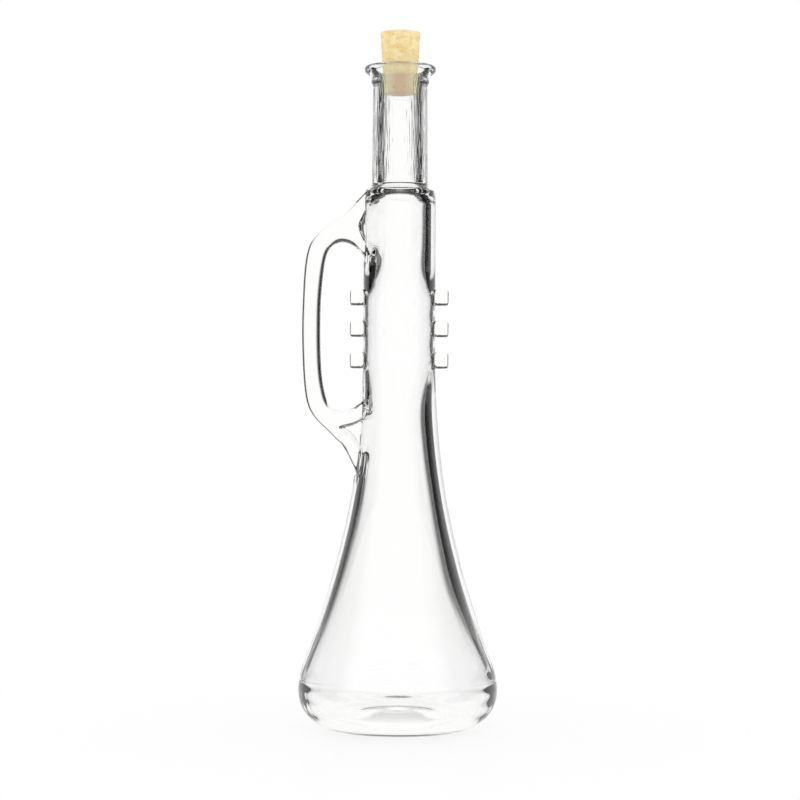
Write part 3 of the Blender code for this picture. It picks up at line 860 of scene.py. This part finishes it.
def studio_world():
    """A white studio: the camera sees plain white, and glass sees white walls with dark flags between."""
    world = bpy.data.worlds.new("studio")
    bpy.context.scene.world = world
    world.use_nodes = True
    tree = world.node_tree
    where = add_node(tree, "ShaderNodeTexCoord")
    parts = add_node(tree, "ShaderNodeSeparateXYZ", None, {"Vector": where.outputs["Generated"]})
    x, y, z = (parts.outputs[axis] for axis in "XYZ")
    sideways = add_node(tree, "ShaderNodeMath", {"operation": "ABSOLUTE"}, {0: x})
    walls = add_node(
        tree, "ShaderNodeValToRGB", {"stops": [(place, grey(v)) for place, v in SIDEWAYS_PATTERN]},
        {"Fac": sideways.outputs[0]},
    )
    rise = add_node(tree, "ShaderNodeMapRange", {"From Min": -1.0}, {"Value": z})
    heights = add_node(
        tree, "ShaderNodeValToRGB", {"stops": [((up + 1) / 2, grey(v)) for up, v in UPWARD_PATTERN]},
        {"Fac": rise.outputs["Result"]},
    )
    flags = add_node(
        tree, "ShaderNodeMix", {"data_type": "RGBA", "blend_type": "MULTIPLY", SHARE: 1.0},
        {COLOUR_A: walls.outputs["Color"], COLOUR_B: heights.outputs["Color"]},
    )
    # overhead the light box is white all round, and so are the sweep below the flags and the camera's wall
    lid = add_node(tree, "ShaderNodeMath", {"operation": "GREATER_THAN", 1: LID_Z}, {0: z})
    hung = add_node(
        tree, "ShaderNodeMapRange", {"From Min": FLAG_END_Z[0], "From Max": FLAG_END_Z[1]}, {"Value": z}
    )
    ahead = add_node(
        tree, "ShaderNodeMapRange", {"From Min": FLAG_END_Y[0], "From Max": FLAG_END_Y[1]}, {"Value": y}
    )
    open_sky = add_node(
        tree, "ShaderNodeMath", {"operation": "SUBTRACT"}, {0: hung.outputs[0], 1: lid.outputs[0]}
    )
    framed = add_node(
        tree, "ShaderNodeMath", {"operation": "MULTIPLY"}, {0: ahead.outputs[0], 1: open_sky.outputs[0]}
    )
    # the flags show only through glass and not in the light that falls on the cork and the floor
    path = add_node(tree, "ShaderNodeLightPath")
    direct = add_node(
        tree, "ShaderNodeMath", {"operation": "LESS_THAN", 1: 0.5}, {0: path.outputs["Diffuse Depth"]}
    )
    seen, mirrored = (
        add_node(
            tree, "ShaderNodeMath", {"operation": "MULTIPLY"}, {0: path.outputs[ray], 1: direct.outputs[0]}
        )
        for ray in ("Is Transmission Ray", "Is Glossy Ray")
    )
    shown = add_node(
        tree, "ShaderNodeMath", {"operation": "MULTIPLY"}, {0: seen.outputs[0], 1: framed.outputs[0]}
    )
    azimuth = add_node(tree, "ShaderNodeMath", {"operation": "ARCTAN2"}, {0: x, 1: y})
    turned = add_node(
        tree, "ShaderNodeMath", {"operation": "PINGPONG", 1: math.pi / 2}, {0: azimuth.outputs[0]}
    )
    beside = add_node(tree, "ShaderNodeMapRange", {"From Max": math.pi / 2}, {"Value": turned.outputs[0]})
    soft = add_node(
        tree, "ShaderNodeValToRGB", {"stops": [(a / QUARTER_TURN, grey(v)) for a, v in MIRROR_PATTERN]},
        {"Fac": beside.outputs["Result"]},
    )
    plain = add_node(
        tree, "ShaderNodeMix", {"data_type": "RGBA", COLOUR_A: grey(1.0)},
        {SHARE: mirrored.outputs[0], COLOUR_B: soft.outputs["Color"]},
    )
    colour = add_node(
        tree, "ShaderNodeMix", {"data_type": "RGBA"},
        {SHARE: shown.outputs[0], COLOUR_A: plain.outputs[MIXED], COLOUR_B: flags.outputs[MIXED]},
    )
    set_up(tree.nodes["Background"], {"Strength": 1.0}, {"Color": colour.outputs[MIXED]})


# The share of plain white in the floor beside the bottle. It rises from the first of these shares of the
# floor's radius on, and is 1 past the second, where the floor runs out into the white background.
FLOOR_SEGMENTS = 96
FLOOR_WHITE = 0.85
FADE_SHARES = (0.2, 0.88)


def floor_material(settings):
    """Satin white acrylic sheet: plain white with a soft shadow and mirror image of what stands on it."""
    made, tree, shader = new_material("satin_white_acrylic")
    set_up(shader, {"Base Color": settings.floor_colour, "Roughness": 0.25, "IOR": 1.3})
    where = add_node(tree, "ShaderNodeTexCoord")
    radius = add_node(tree, "ShaderNodeVectorMath", {"operation": "LENGTH"}, {0: where.outputs["Object"]})
    start, end = (share * settings.floor_radius for share in FADE_SHARES)
    fade = add_node(
        tree, "ShaderNodeMapRange", {"From Min": start, "From Max": end, "To Min": FLOOR_WHITE},
        {"Value": radius.outputs["Value"]},
    )
    path = add_node(tree, "ShaderNodeLightPath")
    white_share = add_node(
        tree, "ShaderNodeMath", {"operation": "MAXIMUM"},
        {0: fade.outputs["Result"], 1: path.outputs["Is Transmission Ray"]},
    )
    white = add_node(tree, "ShaderNodeEmission", {"Color": grey(1.0), "Strength": 1.0})
    blend = add_node(
        tree, "ShaderNodeMixShader", None,
        {SHARE: white_share.outputs[0], 1: shader.outputs[0], 2: white.outputs[0]},
    )
    set_up(tree.nodes["Material Output"], None, {"Surface": blend.outputs[0]})
    return made


# The photograph's camera: how far right of the axis and how high it stands in metres, its roll in degrees,
# its film's width, and its focal length for each metre of distance, so that the bottle keeps its size in the
# picture at any distance
CAMERA_X, CAMERA_Z = 0.00048, 0.1443
CAMERA_ROLL = 0.25
FILM_WIDTH, LENS_PER_METRE = 36.0, 102.42


class BOTTLE_OT_stage(bpy.types.Operator):
    """Builds the floor, the studio light and the camera"""

    bl_idname = "bottle.stage"
    bl_label = "Stage"

    def execute(self, context):
        settings = context.scene.bottle_stage
        mesh = bpy.data.meshes.new("floor")
        edit = bmesh.new()
        bmesh.ops.create_circle(edit, cap_ends=True, radius=settings.floor_radius, segments=FLOOR_SEGMENTS)
        edit.to_mesh(mesh)
        edit.free()
        floor = add_object("floor", mesh)
        floor.data.materials.append(floor_material(settings))
        studio_world()
        data = bpy.data.cameras.new("camera")
        data.sensor_width = FILM_WIDTH
        data.lens = LENS_PER_METRE * settings.camera_distance
        camera = add_object("camera", data)
        camera.matrix_world = (
            Matrix.Translation((CAMERA_X, -settings.camera_distance, CAMERA_Z))
            @ Matrix.Rotation(math.radians(QUARTER_TURN), 4, "X")
            @ Matrix.Rotation(math.radians(CAMERA_ROLL), 4, "Z")
        )
        context.scene.camera = camera
        context.scene.view_settings.view_transform = "Standard"
        return {"FINISHED"}


class BOTTLE_PT_panel(bpy.types.Panel):
    """Lists the bottle's builders"""

    bl_label = "Trumpet bottle"
    bl_idname = "BOTTLE_PT_panel"
    bl_space_type = "VIEW_3D"
    bl_region_type = "UI"
    bl_category = "Bottle"

    def draw(self, context):
        for operator in OPERATORS:
            self.layout.operator(operator.bl_idname)


OPERATORS = (BOTTLE_OT_stage, BOTTLE_OT_glass, BOTTLE_OT_cork)
CLASSES = (GlassSettings, CorkSettings, StageSettings, *OPERATORS, BOTTLE_PT_panel)


def register():
    for cls in CLASSES:
        bpy.utils.register_class(cls)
    bpy.types.Scene.bottle_glass = bpy.props.PointerProperty(type=GlassSettings)
    bpy.types.Scene.bottle_cork = bpy.props.PointerProperty(type=CorkSettings)
    bpy.types.Scene.bottle_stage = bpy.props.PointerProperty(type=StageSettings)


def unregister():
    del bpy.types.Scene.bottle_glass, bpy.types.Scene.bottle_cork, bpy.types.Scene.bottle_stage
    for cls in reversed(CLASSES):
        bpy.utils.unregister_class(cls)


def main():
    """Builds the scene."""
    register()
    bpy.ops.bottle.stage()
    bpy.ops.bottle.glass()
    bpy.ops.bottle.cork()


if __name__ == "__main__":
    main()
